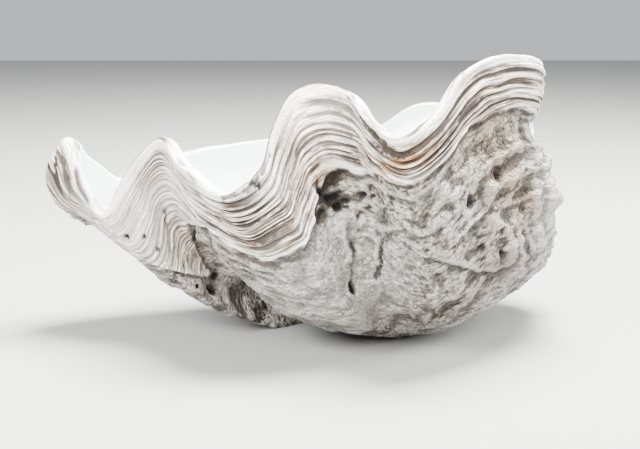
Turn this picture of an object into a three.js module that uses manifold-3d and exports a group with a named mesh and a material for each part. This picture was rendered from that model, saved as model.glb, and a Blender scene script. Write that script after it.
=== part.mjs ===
// One valve of a giant clam, lying on its rounded outside with the hollow upwards.
// Millimetres, +Z up, the wavy growing edge towards -Y and the hinge along the back.
import * as THREE from "three";
import Module from "manifold-3d";

// ---- Driving dimensions ----
const edgeThickness = 9; // wall at the growing edge
const leftTipExtra = 6; // the left tip has a blunt, thicker edge
const floorExtra = 11; // the wall gains this much by the middle of the shell
const hingeRelief = 6; // and loses this much again under the hinge
const edgeRoundness = 0.55; // height of the rounded edge against half its thickness
const wearDepth = 2.2; // flats worn on the belly where the valve rests
const columns = 112; // facets round a growth line
const outerRows = 13;
const innerRows = 10;

// The beak, where the valve started to grow, and the line along the middle of the hollow.
const beak = [112, 112, 124];
const middleOf = (p) => [0.75 * p[0] + 5, 20, 122];

// Growing edge, counter-clockwise from the back left corner. Ribs dip, the folds between them rise.
const rim = [
  ["backCorner", -88, 74, 108],
  ["leftDip", -122, 50, 92],
  ["leftRise", -147, 36, 108],
  ["leftTip", -162, 20, 125],
  ["leftLip", -153, 3, 112],
  ["leftSill", -148, -6, 95],
  ["ribOne", -131, -15, 79],
  ["foldOneRise", -117, -18, 102],
  ["foldOneLeft", -105, -20, 118],
  ["foldOne", -93, -22, 129],
  ["ribTwoFall", -76, -55, 116],
  ["ribTwo", -47, -88, 104],
  ["ribTwoRise", -24, -79, 118],
  ["foldTwoRise", -17, -64, 141],
  ["foldTwoLeft", -6, -53, 161],
  ["foldTwo", 9, -48, 166],
  ["foldTwoFall", 24, -54, 163],
  ["ribThreeFall", 37, -85, 148],
  ["ribThree", 55, -108, 139],
  ["ribThreeRise", 77, -97, 151],
  ["foldThreeRise", 97, -72, 174],
  ["foldThree", 120, -50, 183],
  ["hornTip", 154, -16, 177],
  ["hornFall", 134, 12, 152],
  ["rightSide", 152, 52, 136],
  ["rightBack", 158, 80, 138],
  ["beakSide", 140, 104, 136],
  ["hingeRight", 108, 118, 140],
  ["hingeMiddle", 80, 112, 139],
  ["hingeLeft", 50, 104, 122],
  ["backMiddle", 0, 96, 117],
  ["backLeft", -50, 84, 113],
];

// Where the curves that run from the edge to the beak are pulled first, just below the edge.
const waist = [
  ["backCorner", -75, 92, 82],
  ["leftDip", -105, 74, 64],
  ["leftTip", -234, 15, 39],
  ["leftLip", -204, -13, 64],
  ["leftSill", -140, -15, 42],
  ["ribOne", -80, -50, 24],
  ["foldOne", -82, -45, 28],
  ["ribTwoFall", -30, -100, 0],
  ["ribTwo", 22, -125, 0],
  ["foldTwo", 56, -146, -18],
  ["ribThree", 86, -150, 2],
  ["foldThree", 160, -96, 24],
  ["hornTip", 187, -40, 36],
  ["rightSide", 202, 42, 50],
  ["rightBack", 182, 86, 92],
  ["beakSide", 150, 116, 120],
  ["hingeRight", 110, 128, 132],
  ["hingeMiddle", 78, 124, 128],
  ["hingeLeft", 48, 116, 106],
  ["backMiddle", 8, 112, 95],
  ["backLeft", -35, 104, 86],
];

// Where they are pulled next, under the belly.
const keel = [
  ["backCorner", 45, 128, 64],
  ["leftTip", 10, 115, 0],
  ["ribOne", 22, 62, -103],
  ["foldOne", 34, 66, -66],
  ["ribTwo", 78, 85, -85],
  ["foldTwo", 98, 85, -85],
  ["ribThree", 118, 80, -70],
  ["foldThree", 148, 84, -62],
  ["rightSide", 168, 108, -4],
  ["beakSide", 132, 126, 104],
  ["hingeRight", 113, 126, 124],
  ["hingeLeft", 85, 122, 108],
  ["backLeft", 60, 126, 82],
];

// The hollow under the hooked horn: how far round from hornTip, how deep down the curve, its two widths, its depth.
const hornHollow = { past: 0.2, along: 0.095, wide: 0.032, tall: 0.055, depth: 20 };

// ---- Small vector helpers ----
const add = (a, b, k = 1) => [a[0] + b[0] * k, a[1] + b[1] * k, a[2] + b[2] * k];
const sub = (a, b) => add(a, b, -1);
const mul = (a, k) => [a[0] * k, a[1] * k, a[2] * k];
const dot = (a, b) => a[0] * b[0] + a[1] * b[1] + a[2] * b[2];
const cross = (a, b) => [
  a[1] * b[2] - a[2] * b[1],
  a[2] * b[0] - a[0] * b[2],
  a[0] * b[1] - a[1] * b[0],
];
const unit = (a) => mul(a, 1 / (Math.hypot(...a) + 1e-12));
const mix = (a, b, k) => add(mul(a, 1 - k), b, k);
const ease = (x) => {
  const c = Math.min(Math.max(x, 0), 1);
  return c * c * (3 - 2 * c);
};
const bell = (x) => Math.exp(-x * x);

// ---- Closed loops ----
// Landmarks are spaced round the shell by the square root of the distance between them.
const stations = placeStations();
const rimLoop = closedLoop(rim);
const waistLoop = closedLoop(waist);
const keelLoop = closedLoop(keel);

function placeStations() {
  const steps = rim.map((p, i) => {
    const next = rim[(i + 1) % rim.length];
    return Math.sqrt(Math.hypot(next[1] - p[1], next[2] - p[2], next[3] - p[3]));
  });
  const whole = steps.reduce((a, b) => a + b, 0);
  const at = new Map();
  let sum = 0;
  rim.forEach((p, i) => {
    at.set(p[0], sum / whole);
    sum += steps[i];
  });
  return at;
}

// A smooth closed curve through the named points, read at u from 0 to 1.
function closedLoop(table) {
  const n = table.length;
  const u = table.map((row) => stations.get(row[0]));
  const p = table.map((row) => row.slice(1));
  const gap = u.map((v, i) => (i + 1 < n ? u[i + 1] : 1) - v);
  const slope = p.map((v, i) => mul(sub(p[(i + 1) % n], v), 1 / gap[i]));
  const lean = p.map((v, i) => {
    const j = (i + n - 1) % n;
    return mul(add(mul(slope[i], gap[j]), slope[j], gap[i]), 1 / (gap[i] + gap[j]));
  });
  return (at) => {
    const x = at - Math.floor(at);
    let i = n - 1;
    while (i > 0 && u[i] > x) i -= 1;
    const j = (i + 1) % n;
    const s = (x - u[i]) / gap[i];
    const keep = 2 * s ** 3 - 3 * s ** 2 + 1;
    const out = add(mul(p[i], keep), p[j], 1 - keep);
    const bent = add(out, lean[i], (s ** 3 - 2 * s ** 2 + s) * gap[i]);
    return add(bent, lean[j], (s ** 3 - s ** 2) * gap[i]);
  };
}

// ---- The two faces ----
// Outer face: u goes round the shell, t goes from the edge (0) back in time to the beak (1).
function outerPoint(u, t) {
  const s = 1 - t;
  let p = mul(rimLoop(u), s ** 3);
  p = add(p, waistLoop(u), 3 * s * s * t);
  p = add(p, keelLoop(u), 3 * s * t * t);
  p = add(p, beak, t ** 3);
  return sinkHorn(p, u, t);
}

function sinkHorn(p, u, t) {
  const from = stations.get("hornTip");
  const to = stations.get("hornFall");
  const at = from + (to - from) * hornHollow.past;
  const round = u - at - Math.round(u - at);
  const deep = bell(round / hornHollow.wide) * bell((t - hornHollow.along) / hornHollow.tall);
  return add(p, unit(sub(middleOf(p), p)), hornHollow.depth * deep);
}

// The same face with its ribs smoothed away with depth, as the inside of the shell has them.
function softPoint(u, t) {
  const reach = 0.012 + 0.09 * ease((t - 0.03) / 0.4);
  let sum = [0, 0, 0];
  let weight = 0;
  for (let k = -4; k <= 4; k += 1) {
    const w = Math.cos((k / 5) * (Math.PI / 2)) ** 2;
    sum = add(sum, outerPoint(u + (k / 5) * reach, t), w);
    weight += w;
  }
  return mul(sum, 1 / weight);
}

// The wall at a point: thin in the narrow left end, thick under the middle of the shell.
function wallAt(p, u, t) {
  const tip = bell((u - stations.get("leftTip")) / 0.02) * leftTipExtra * (1 - ease(t / 0.2));
  const share = 0.15 + 0.85 * ease((p[0] + 150) / 130);
  const grown = floorExtra * ease(t / 0.5) - hingeRelief * ease((t - 0.6) / 0.35);
  return edgeThickness + tip + grown * share;
}

// The way round in which u and t run makes their cross product point inwards (1) or outwards (-1).
const inwardSign = 1;

// Inner face: the smoothed face moved in by the wall, square to it near the edge.
function innerPoint(u, t) {
  const e = 0.001;
  const p = softPoint(u, t);
  const along = sub(softPoint(u + e, t), softPoint(u - e, t));
  const down = sub(softPoint(u, t + e), softPoint(u, t - e));
  const inward = unit(sub(middleOf(p), p));
  const square = mul(unit(cross(along, down)), inwardSign);
  const nearHinge = ease((p[1] - 70) / 25);
  const byEdge = unit(mix(inward, square, 0.75 * (1 - nearHinge)));
  const way = unit(mix(byEdge, inward, ease((t - 0.2) / 0.45)));
  return add(p, way, wallAt(p, u, t));
}

// ---- Closed mesh of the valve ----
function ring(point, t) {
  return Array.from({ length: columns }, (_, i) => point(i / columns, t));
}

// Rows that roll over the growing edge from the outer face to the inner face.
function edgeRows(outerEdge, innerEdge) {
  const below = ring(outerPoint, 0.02);
  return [1, 2, 3].map((k) => {
    const turn = (k / 4) * Math.PI;
    return outerEdge.map((o, i) => {
      const half = mul(sub(o, innerEdge[i]), 0.5);
      const crest = unit(sub(o, below[i]));
      const centre = sub(o, half);
      const lift = Math.hypot(...half) * edgeRoundness * Math.sin(turn);
      return add(add(centre, half, Math.cos(turn)), crest, lift);
    });
  });
}

function valveRows() {
  const outer = [];
  const inner = [];
  for (let k = 0; k < outerRows; k += 1) outer.push(ring(outerPoint, (0.85 * k) / (outerRows - 1)));
  outer.push(ring(outerPoint, 0.93));
  for (let k = 0; k < innerRows; k += 1) inner.push(ring(innerPoint, (0.85 * k) / (innerRows - 1)));
  inner.push(ring(innerPoint, 0.94));
  const rolled = edgeRows(outer[0], inner[0]);
  return [...outer.reverse(), ...rolled, ...inner];
}

function valveGeometry() {
  const rows = valveRows();
  const points = [outerPoint(0, 1), ...rows.flat(), innerPoint(0, 1)];
  const last = points.length - 1;
  const at = (row, i) => 1 + row * columns + (i % columns);
  const faces = [];
  for (let i = 0; i < columns; i += 1) {
    faces.push(0, at(0, i), at(0, i + 1));
    for (let row = 0; row + 1 < rows.length; row += 1) {
      faces.push(at(row, i), at(row + 1, i), at(row + 1, i + 1));
      faces.push(at(row, i), at(row + 1, i + 1), at(row, i + 1));
    }
    faces.push(last, at(rows.length - 1, i + 1), at(rows.length - 1, i));
  }
  return { points, faces: signedVolume(points, faces) < 0 ? faces.reverse() : faces };
}

function signedVolume(points, faces) {
  let sum = 0;
  for (let i = 0; i < faces.length; i += 3) {
    sum += dot(points[faces[i]], cross(points[faces[i + 1]], points[faces[i + 2]]));
  }
  return sum / 6;
}

// ---- Flats on the belly, then the origin under the middle of the shell ----
async function wornGeometry({ points, faces }) {
  const wasm = await Module();
  wasm.setup();
  const solid = new wasm.Manifold(
    new wasm.Mesh({
      numProp: 3,
      vertProperties: new Float32Array(points.flat()),
      triVerts: new Uint32Array(faces),
    }),
  );
  const lowest = Math.min(...points.map((p) => p[2]));
  const made = solid.trimByPlane([0, 0, 1], lowest + wearDepth).getMesh();
  const geometry = new THREE.BufferGeometry();
  const xyz = new Float32Array(made.vertProperties);
  geometry.setAttribute("position", new THREE.BufferAttribute(xyz, 3));
  geometry.setIndex(new THREE.BufferAttribute(new Uint32Array(made.triVerts), 1));
  geometry.computeBoundingBox();
  const { min, max } = geometry.boundingBox;
  geometry.translate(-(min.x + max.x) / 2, -(min.y + max.y) / 2, -min.z);
  geometry.computeVertexNormals();
  return geometry;
}

const shell = new THREE.MeshStandardMaterial({ color: 0xd9cdb8, roughness: 0.85, metalness: 0 });
const valve = new THREE.Mesh(await wornGeometry(valveGeometry()), shell);
valve.name = "valve";

const clam = new THREE.Group();
clam.name = "giantClamValve";
clam.add(valve);

export default clam;
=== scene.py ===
import math

import bpy
import numpy as np
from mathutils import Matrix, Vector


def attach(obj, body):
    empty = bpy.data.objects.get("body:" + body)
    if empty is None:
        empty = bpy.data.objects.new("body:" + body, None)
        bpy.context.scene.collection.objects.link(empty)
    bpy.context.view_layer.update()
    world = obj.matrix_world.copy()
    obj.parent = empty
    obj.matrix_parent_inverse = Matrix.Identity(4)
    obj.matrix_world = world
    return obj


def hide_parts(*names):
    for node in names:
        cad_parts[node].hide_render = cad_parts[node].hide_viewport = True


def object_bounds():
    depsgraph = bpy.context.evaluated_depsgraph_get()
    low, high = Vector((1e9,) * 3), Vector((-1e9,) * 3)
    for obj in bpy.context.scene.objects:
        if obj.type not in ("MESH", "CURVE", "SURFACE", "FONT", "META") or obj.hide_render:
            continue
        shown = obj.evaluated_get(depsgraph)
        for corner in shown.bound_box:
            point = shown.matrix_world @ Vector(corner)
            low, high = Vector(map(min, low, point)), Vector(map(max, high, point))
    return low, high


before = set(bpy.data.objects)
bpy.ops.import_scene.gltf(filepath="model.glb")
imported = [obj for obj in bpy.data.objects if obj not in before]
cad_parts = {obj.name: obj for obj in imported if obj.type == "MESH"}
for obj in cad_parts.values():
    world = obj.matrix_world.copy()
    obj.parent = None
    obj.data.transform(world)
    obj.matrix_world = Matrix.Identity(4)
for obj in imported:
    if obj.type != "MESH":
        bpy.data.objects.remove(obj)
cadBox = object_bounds()
boxLow, boxHigh = (np.array(corner) for corner in cadBox)
print("packed part: box from", boxLow.round(4).tolist(), "to", boxHigh.round(4).tolist())

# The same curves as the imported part, in mm before the part was set down on its belly.
setDown = np.array([-1.025, -5.653, 5.098])
beak = np.array([112.0, 112.0, 124.0])

rim = {  # growing edge, from the back left corner round by the left tip, the front and the horn
    "backCorner": (-88, 74, 108), "leftDip": (-122, 50, 92), "leftRise": (-147, 36, 108),
    "leftTip": (-162, 20, 125), "leftLip": (-153, 3, 112), "leftSill": (-148, -6, 95),
    "ribOne": (-131, -15, 79), "foldOneRise": (-117, -18, 102), "foldOneLeft": (-105, -20, 118),
    "foldOne": (-93, -22, 129), "ribTwoFall": (-76, -55, 116), "ribTwo": (-47, -88, 104),
    "ribTwoRise": (-24, -79, 118), "foldTwoRise": (-17, -64, 141), "foldTwoLeft": (-6, -53, 161),
    "foldTwo": (9, -48, 166), "foldTwoFall": (24, -54, 163), "ribThreeFall": (37, -85, 148),
    "ribThree": (55, -108, 139), "ribThreeRise": (77, -97, 151), "foldThreeRise": (97, -72, 174),
    "foldThree": (120, -50, 183), "hornTip": (154, -16, 177), "hornFall": (134, 12, 152),
    "rightSide": (152, 52, 136), "rightBack": (158, 80, 138), "beakSide": (140, 104, 136),
    "hingeRight": (108, 118, 140), "hingeMiddle": (80, 112, 139), "hingeLeft": (50, 104, 122),
    "backMiddle": (0, 96, 117), "backLeft": (-50, 84, 113),
}
waist = {  # pulls the wall just below the edge
    "backCorner": (-75, 92, 82), "leftDip": (-105, 74, 64), "leftTip": (-234, 15, 39),
    "leftLip": (-204, -13, 64), "leftSill": (-140, -15, 42), "ribOne": (-80, -50, 24),
    "foldOne": (-82, -45, 28), "ribTwoFall": (-30, -100, 0), "ribTwo": (22, -125, 0),
    "foldTwo": (56, -146, -18), "ribThree": (86, -150, 2), "foldThree": (160, -96, 24),
    "hornTip": (187, -40, 36), "rightSide": (202, 42, 50), "rightBack": (182, 86, 92),
    "beakSide": (150, 116, 120),
    "hingeRight": (110, 128, 132), "hingeMiddle": (78, 124, 128), "hingeLeft": (48, 116, 106),
    "backMiddle": (8, 112, 95), "backLeft": (-35, 104, 86),
}
keel = {  # pulls it under the belly
    "backCorner": (45, 128, 64), "leftTip": (10, 115, 0), "ribOne": (22, 62, -103),
    "foldOne": (34, 66, -66), "ribTwo": (78, 85, -85), "foldTwo": (98, 85, -85),
    "ribThree": (118, 80, -70), "foldThree": (148, 84, -62), "rightSide": (168, 108, -4),
    "beakSide": (132, 126, 104), "hingeRight": (113, 126, 124), "hingeLeft": (85, 122, 108),
    "backLeft": (60, 126, 82),
}

valveForm = {
    "frontColumns": 356,     # columns of faces along the wavy edge
    "backColumns": 84,       # and round the back
    "lamellae": 92,          # main growth lines from the edge to the beak
    "lineGaps": (0.45, 1.7),   # least and most space between them, before they are fitted in
    "lineSeed": 5,
    "riseShare": 0.86,       # how much of each lamella is its slope, before it drops to the next
    "crispLines": 13,        # lines from the edge down that have five rows of faces each
    "openLines": 29,         # the lines after those, up to this one, have four
    "fineRows": (0.62, 0.0075),   # after those lines rows are even: down to this t, in steps of this
    "wideRows": (0.985, 0.016),   # and from there with half the columns
    "rolledRows": 7,         # rows of faces round the growing edge
    "middle": (5.0, 20.0, 122.0),   # what the wall faces, at the middle of the shell, mm
    "middleShare": 0.75,     # how far that point follows the wall along X
    "leastSoftening": 0.012,   # how far round the inside is smoothed, at the edge
    "softening": 0.09,       # and how much more it is with depth
    "edgeWall": 9.0,         # wall at the growing edge, mm
    "leftTipExtra": 6.0,     # the left tip is blunt
    "floorExtra": 11.0,      # what the wall gains by the middle
    "hingeRelief": 6.0,      # and loses again under the hinge
    "hollowBacking": 8.0,    # extra wall behind the deep hollow beside rib two
    "leastWall": 2.5,        # what the deepest relief leaves of the wall, mm
    "edgeRoundness": 0.55,
    "hornHollow": {"past": 0.2, "along": 0.095, "wide": 0.032, "tall": 0.055, "depth": 20.0},
}


def ease(x):
    c = np.clip(x, 0.0, 1.0)
    return c * c * (3.0 - 2.0 * c)


def bell(x):
    return np.exp(-x * x)


def unit(v):
    return v / (np.linalg.norm(v, axis=-1, keepdims=True) + 1e-12)


def mix(a, b, k):
    return a * (1.0 - k) + b * k


def placeStations():
    points = np.array(list(rim.values()), float)
    steps = np.sqrt(np.linalg.norm(np.roll(points, -1, axis=0) - points, axis=1))
    starts = np.concatenate([[0.0], np.cumsum(steps)[:-1]]) / steps.sum()
    return dict(zip(rim, starts))


stations = placeStations()


def between(name, share=0.0):
    names = list(stations)
    i = names.index(name)
    end = stations[names[i + 1]] if i + 1 < len(names) else 1.0
    return stations[name] + (end - stations[name]) * share


def closedLoop(table):
    u = np.array([stations[name] for name in table])
    p = np.array(list(table.values()), float)
    gap = np.diff(np.append(u, 1.0))
    slope = (np.roll(p, -1, axis=0) - p) / gap[:, None]
    gapBefore, slopeBefore = np.roll(gap, 1), np.roll(slope, 1, axis=0)
    lean = (slope * gapBefore[:, None] + slopeBefore * gap[:, None]) / (gap + gapBefore)[:, None]

    def read(at):
        x = np.mod(at, 1.0)
        i = np.clip(np.searchsorted(u, x, side="right") - 1, 0, len(u) - 1)
        j = (i + 1) % len(u)
        s = ((x - u[i]) / gap[i])[..., None]
        h = gap[i][..., None]
        keep = 2 * s**3 - 3 * s**2 + 1
        bend = lean[i] * (s**3 - 2 * s**2 + s) + lean[j] * (s**3 - s**2)
        return keep * p[i] + (1 - keep) * p[j] + bend * h

    return read


rimLoop, waistLoop, keelLoop = closedLoop(rim), closedLoop(waist), closedLoop(keel)


def middleOf(p):
    x, y, z = valveForm["middle"]
    level = np.ones(p.shape[:-1])
    return np.stack([valveForm["middleShare"] * p[..., 0] + x, y * level, z * level], -1)


# u runs round the shell, t from the growing edge (0) back in time to the beak (1).
def outerPoint(u, t):
    t = t[..., None]
    s = 1.0 - t
    p = s**3 * rimLoop(u) + 3 * s * s * t * waistLoop(u) + 3 * s * t * t * keelLoop(u) + t**3 * beak
    horn = valveForm["hornHollow"]
    away = u - between("hornTip", horn["past"])
    away = (away - np.round(away)) / horn["wide"]
    deep = bell(away) * bell((t[..., 0] - horn["along"]) / horn["tall"])
    return p + unit(middleOf(p) - p) * (horn["depth"] * deep)[..., None]


# The same face with its ribs smoothed away with depth, as the inside has them.
def softPoint(u, t):
    reach = valveForm["leastSoftening"] + valveForm["softening"] * ease((t - 0.03) / 0.4)
    total, weight = 0.0, 0.0
    for k in range(-4, 5):
        w = math.cos(k / 5 * math.pi / 2) ** 2
        total = total + outerPoint(u + k / 5 * reach, t) * w
        weight += w
    return total / weight


def wallAt(p, u, t):
    form = valveForm
    tip = bell((u - stations["leftTip"]) / 0.02) * form["leftTipExtra"] * (1 - ease(t / 0.2))
    share = 0.15 + 0.85 * ease((p[..., 0] + 150) / 130)
    behind = form["hollowBacking"] * bell((u - between("foldTwoLeft", 0.5)) / 0.03) * bell((t - 0.125) / 0.05)
    grown = form["floorExtra"] * ease(t / 0.5) - form["hingeRelief"] * ease((t - 0.6) / 0.35)
    return form["edgeWall"] + tip + behind + grown * share


def innerPoint(u, t):
    e = 0.001
    p = softPoint(u, t)
    along = softPoint(u + e, t) - softPoint(u - e, t)
    down = softPoint(u, t + e) - softPoint(u, t - e)
    inward = unit(middleOf(p) - p)
    square = unit(np.cross(along, down))
    nearHinge = ease((p[..., 1] - 70) / 25)[..., None]
    byEdge = unit(mix(inward, square, 0.75 * (1 - nearHinge)))
    way = unit(mix(byEdge, inward, ease((t - 0.2) / 0.45)[..., None]))
    return p + way * wallAt(p, u, t)[..., None]


# Noise from hashed lattice points, so that it is the same each run.
def lattice(x, y, z, seed):
    n = (x * 374761393 + y * 668265263 + z * 1440662683 + seed * 1274126177) & 0xFFFFFFFF
    n = ((n ^ (n >> 13)) * 1274126177) & 0xFFFFFFFF
    n = ((n ^ (n >> 15)) * 2246822519) & 0xFFFFFFFF
    return ((n ^ (n >> 16)) & 0xFFFF) / 32767.5 - 1.0


def smoothNoise(p, seed):
    cell = np.floor(p).astype(np.int64)
    f = p - cell
    w = f * f * f * (f * (f * 6 - 15) + 10)
    total = np.zeros(p.shape[:-1])
    for corner in range(8):
        d = np.array([corner & 1, corner >> 1 & 1, corner >> 2 & 1])
        share = np.prod(np.where(d == 1, w, 1 - w), axis=-1)
        total += share * lattice(*np.moveaxis(cell + d, -1, 0), seed)
    return total


def roughNoise(p, seed, octaves=3):
    total, size = np.zeros(p.shape[:-1]), 1.0
    for k in range(octaves):
        total += smoothNoise(p * 2.0**k, seed + k) * size
        size *= 0.5
    return total


valveRelief = {
    "lamellaHeight": 2.1,    # mm, how far a growth line stands out at its lower edge
    "fineHeight": 0.4,
    "chipHeight": 0.5,       # breaks up the lines' edges
    "freshDrop": 1.0,        # how far the fresh lamellae lie below the swept face
    "oldLineHeight": 1.5,    # older, rounded growth lines on the worn surface
    "grainHeight": 0.5,
    "flakeHeight": 0.7,      # overlapping scales of the worn surface
    "flakesDown": 38,        # rows of them from the edge to the beak
    "lumpHeight": 1.9,
    "tearing": 0.9,          # how ragged the outlines of holes, cracks and ridges are
    "ledgeDepth": 3.6,
    "steps": {"fresh": (0.006, 0.10), "older": (0.004, 0.05), "ledge": (0.006, 0.09)},   # width, fade (t)
    "rimHeight": 0.5,        # how far the rubbed rims stand out
    "raisedReach": (5, 4),   # rows and columns round a place that it is compared with
    "raisedHeight": 1.6,     # mm above them that count as fully raised
}

leftSlab = {   # the blunt left end
    "centre": ("leftTip", 0.9),
    "halfWidth": 0.030,      # as a share of the way round
    "reach": 0.20,           # the depth t where it starts to fade out
    "fade": 0.16,
    "wholeDepth": 270.0,     # mm from the edge that count as t = 1
    "lineShare": 0.08,       # how much of the lamella relief it keeps
}

insideForm = {   # the scar of the muscle, and the line where the mantle was held
    "scarCentre": (20.0, 62.0, 30.0),
    "scarSize": (30.0, 24.0, 30.0),
    "scarStrength": 0.8,
    "mantleDepth": 0.24,
    "mantleWidth": 0.012,
    "mantleStrength": 0.45,
}

# How far down the fresh, dense lamellae reach (t), and how deep the worn surface lies below them (mm).
freshReach = {
    "backCorner": (0.10, 1), "leftRise": (0.10, 1), "leftTip": (0.20, 1.5), "leftSill": (0.17, 1.5),
    "ribOne": (0.15, 1.5), "foldOneRise": (0.25, 2), "foldOneLeft": (0.33, 3), "foldOne": (0.19, 4),
    "ribTwoFall": (0.105, 2.5), "ribTwo": (0.130, 3.5), "ribTwoRise": (0.124, 5), "foldTwoRise": (0.128, 6.5),
    "foldTwoLeft": (0.107, 8), "foldTwo": (0.092, 6), "foldTwoFall": (0.092, 3), "ribThreeFall": (0.068, 2.2),
    "ribThree": (0.058, 2.5), "ribThreeRise": (0.057, 3.5), "foldThreeRise": (0.062, 3.5),
    "foldThree": (0.063, 3), "hornTip": (0.07, 1.5), "rightSide": (0.05, 1), "backLeft": (0.08, 1),
}

# The next older layer below it, on rib three: landmark, share of the way to the next, t, depth in mm.
olderReach = [
    ("foldTwo", 0.0, 0.112, 0.0), ("foldTwoFall", 0.0, 0.104, 1.3), ("ribThree", 0.0, 0.083, 1.5),
    ("ribThreeRise", 0.0, 0.076, 0.8), ("foldThreeRise", 0.0, 0.072, 0.0),
]

# The ledge low on the right: landmark, share of the way to the next, t, share of the full depth.
ledgeReach = [
    ("foldTwoFall", 0.5, 0.150, 0.0), ("ribThree", 0.23, 0.191, 0.7), ("ribThreeRise", 0.02, 0.247, 1.0),
    ("ribThreeRise", 0.43, 0.287, 1.0), ("foldThreeRise", 0.36, 0.337, 1.0),
    ("foldThreeRise", 0.60, 0.318, 1.0), ("foldThreeRise", 0.80, 0.262, 1.0), ("foldThree", 0.40, 0.250, 0.0),
]

# Hollows and holes: landmark, share of the way to the next, t, half width and half height in mm, depth in mm.
hollows = [
    ("foldTwoLeft", 0.50, 0.104, 6.5, 7.0, 7.0), ("foldTwoLeft", 0.18, 0.114, 5.5, 10.0, 7.0),
    ("foldTwoLeft", 0.52, 0.130, 7.5, 6.5, 7.0), ("foldOneRise", 0.32, 0.326, 5.0, 4.0, 3.0),
    ("foldTwoRise", 0.75, 0.140, 5.0, 3.5, 3.0),
]
holes = [
    ("foldTwoRise", 0.95, 0.112, 1.4, 2.8, 4.0), ("foldTwoLeft", 0.29, 0.125, 1.9, 1.7, 5.0),
    ("foldTwoLeft", 0.55, 0.126, 2.1, 1.7, 5.0), ("foldTwoLeft", 0.93, 0.132, 2.1, 1.6, 5.0),
    ("foldTwoLeft", 0.56, 0.140, 1.9, 2.6, 6.0), ("foldTwoLeft", 0.82, 0.145, 1.3, 1.3, 3.0),
    ("foldTwo", 0.62, 0.127, 2.4, 1.3, 4.0), ("foldTwoFall", 0.13, 0.124, 1.8, 1.0, 3.0),
    ("foldTwoFall", 0.41, 0.141, 1.3, 1.6, 3.0), ("foldThreeRise", 0.37, 0.148, 2.3, 3.4, 7.0),
    ("ribThreeRise", 0.56, 0.152, 2.6, 3.9, 7.0), ("foldThree", 0.09, 0.159, 1.7, 1.7, 3.0),
    ("foldThreeRise", 0.76, 0.159, 1.6, 1.3, 2.5), ("foldThreeRise", 0.22, 0.235, 1.8, 1.8, 3.0),
    ("foldThreeRise", 0.14, 0.285, 1.7, 3.2, 4.0), ("ribThreeRise", 0.63, 0.242, 2.6, 2.0, 2.5),
    ("ribOne", 0.17, 0.080, 1.6, 2.2, 3.0), ("ribOne", 0.60, 0.112, 1.4, 1.3, 2.0),
    ("ribOne", 0.71, 0.155, 1.4, 1.4, 2.5), ("foldOneRise", 0.30, 0.328, 3.4, 2.4, 6.0),
    ("foldOneLeft", 0.12, 0.339, 1.6, 1.8, 4.0), ("ribOne", 0.75, 0.275, 1.6, 1.2, 3.0),
]
# A row of small pits along one growth line.
holes += [("ribThreeFall", 0.18 + 0.18 * k, 0.0285 - 0.0016 * k, 1.2, 0.8, 2.0) for k in range(7)]

# Cracks: the run of each as landmark, share, t, then its half width and depth in mm and how dark it is.
cracks = [
    ([("foldTwoLeft", 0.56, 0.196), ("foldTwoLeft", 0.47, 0.213), ("foldTwoLeft", 0.20, 0.226),
      ("foldTwoRise", 0.85, 0.245), ("foldTwoRise", 0.49, 0.256)], 1.2, 3.4, 0.75),
    ([("foldTwoRise", 0.52, 0.254), ("foldTwoRise", 0.30, 0.269)], 1.6, 5.0, 1.2),
    ([("foldTwoFall", 0.10, 0.190), ("foldTwo", 0.78, 0.218), ("foldTwo", 0.45, 0.245),
      ("foldTwo", 0.22, 0.262)], 1.2, 3.0, 0.70),
    ([("foldTwo", 0.35, 0.243), ("foldTwo", 0.07, 0.263)], 1.2, 4.0, 1.1),
    ([("foldTwo", 0.21, 0.157), ("foldTwo", 0.51, 0.147), ("foldTwo", 0.80, 0.143),
      ("foldTwoFall", 0.51, 0.131), ("ribThreeFall", 0.21, 0.113)], 1.1, 2.2, 0.60),
    ([("ribTwoFall", 0.30, 0.005), ("ribTwo", 0.00, 0.005), ("ribTwo", 0.55, 0.005),
      ("ribTwoRise", 0.00, 0.005), ("ribTwoRise", 0.50, 0.005)], 1.3, 2.0, 0.75),
    ([("foldTwoFall", 0.15, 0.004), ("foldTwoFall", 0.70, 0.007), ("ribThreeFall", 0.20, 0.009),
      ("ribThreeFall", 0.60, 0.009)], 1.3, 2.2, 0.95),
    ([("ribTwo", 0.70, -0.002), ("ribTwo", 0.80, 0.012)], 1.5, 2.6, 1.2),
    ([("foldTwo", 0.85, 0.182), ("foldTwoFall", 0.50, 0.170), ("ribThreeFall", 0.45, 0.139)], 1.3, 2.0, 0.42),
    ([("foldTwoRise", 0.42, 0.140), ("foldTwoRise", 0.62, 0.134), ("foldTwoLeft", 0.05, 0.135)],
     1.2, 3.0, 0.9),
    ([("foldThreeRise", 0.45, 0.210), ("foldThreeRise", 0.88, 0.197), ("foldThree", 0.24, 0.186)],
     5.0, 3.6, 0.10),
    ([("foldThree", 0.02, 0.286), ("foldThree", 0.14, 0.336)], 1.2, 2.0, 0.35),
    ([("leftTip", 0.30, 0.030), ("leftTip", 0.62, 0.062), ("leftTip", 0.85, 0.095), ("leftTip", 0.90, 0.150)],
     1.1, 2.0, 0.60),
    ([("leftLip", 0.20, 0.040), ("leftLip", 0.41, 0.051), ("leftLip", 0.30, 0.110)], 1.0, 1.6, 0.36),
    ([("leftSill", 0.66, 0.043), ("leftLip", 0.95, 0.12), ("leftLip", 0.65, 0.209)], 1.0, 2.5, 0.5),
    ([("foldOneLeft", 0.33, 0.143), ("foldOneRise", 0.83, 0.166)], 1.1, 2.5, 0.9),
    ([("foldOne", 0.38, 0.182), ("foldOne", 0.05, 0.212), ("foldOneLeft", 0.75, 0.238)], 1.0, 4.0, 0.95),
]

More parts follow.
